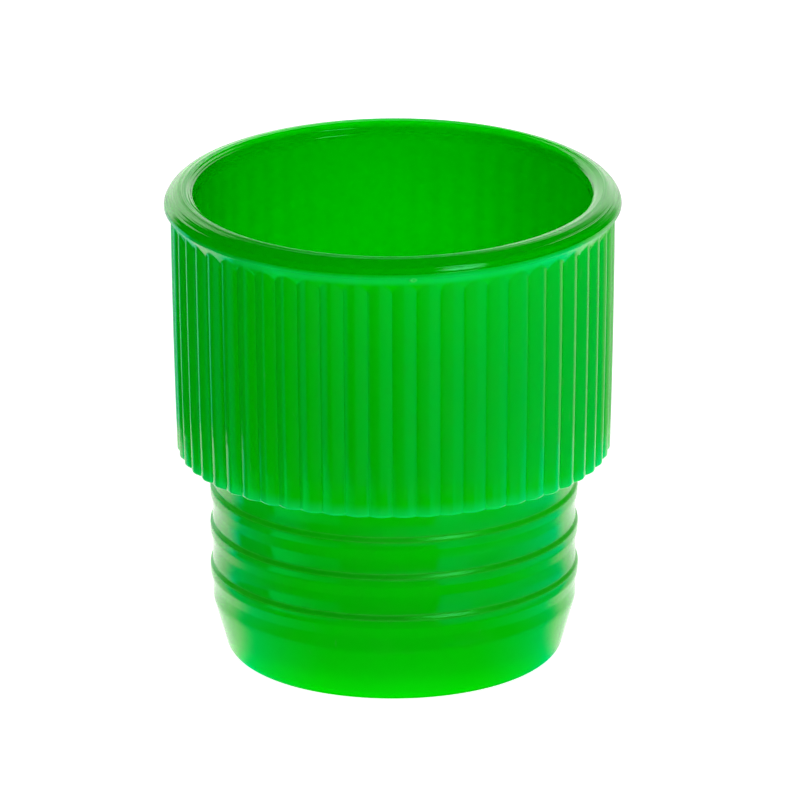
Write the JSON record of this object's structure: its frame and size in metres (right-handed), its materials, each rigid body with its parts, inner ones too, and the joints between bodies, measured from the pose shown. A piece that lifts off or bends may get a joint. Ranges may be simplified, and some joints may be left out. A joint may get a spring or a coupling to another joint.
{
  "type": "test tube stopper",
  "caption": "Push-in stopper for a laboratory tube: a hollow ribbed plug with a tapered closed nose, under a wider fluted grip with a lipped open mouth.",
  "frame": {"origin": "centre of the flat closed base of the plug", "axes": "+Z along the stopper's axis, from the closed base up to the open mouth; a flute's crest lies on +X"},
  "size_m": [0.0174, 0.0174, 0.0185],
  "materials": {
    "stopper_polyethylene": "glossy, slightly translucent green low-density polyethylene, as moulded"
  },
  "bodies": {
    "root": {"stopper": "stopper_polyethylene"}
  },
  "joints": []
}
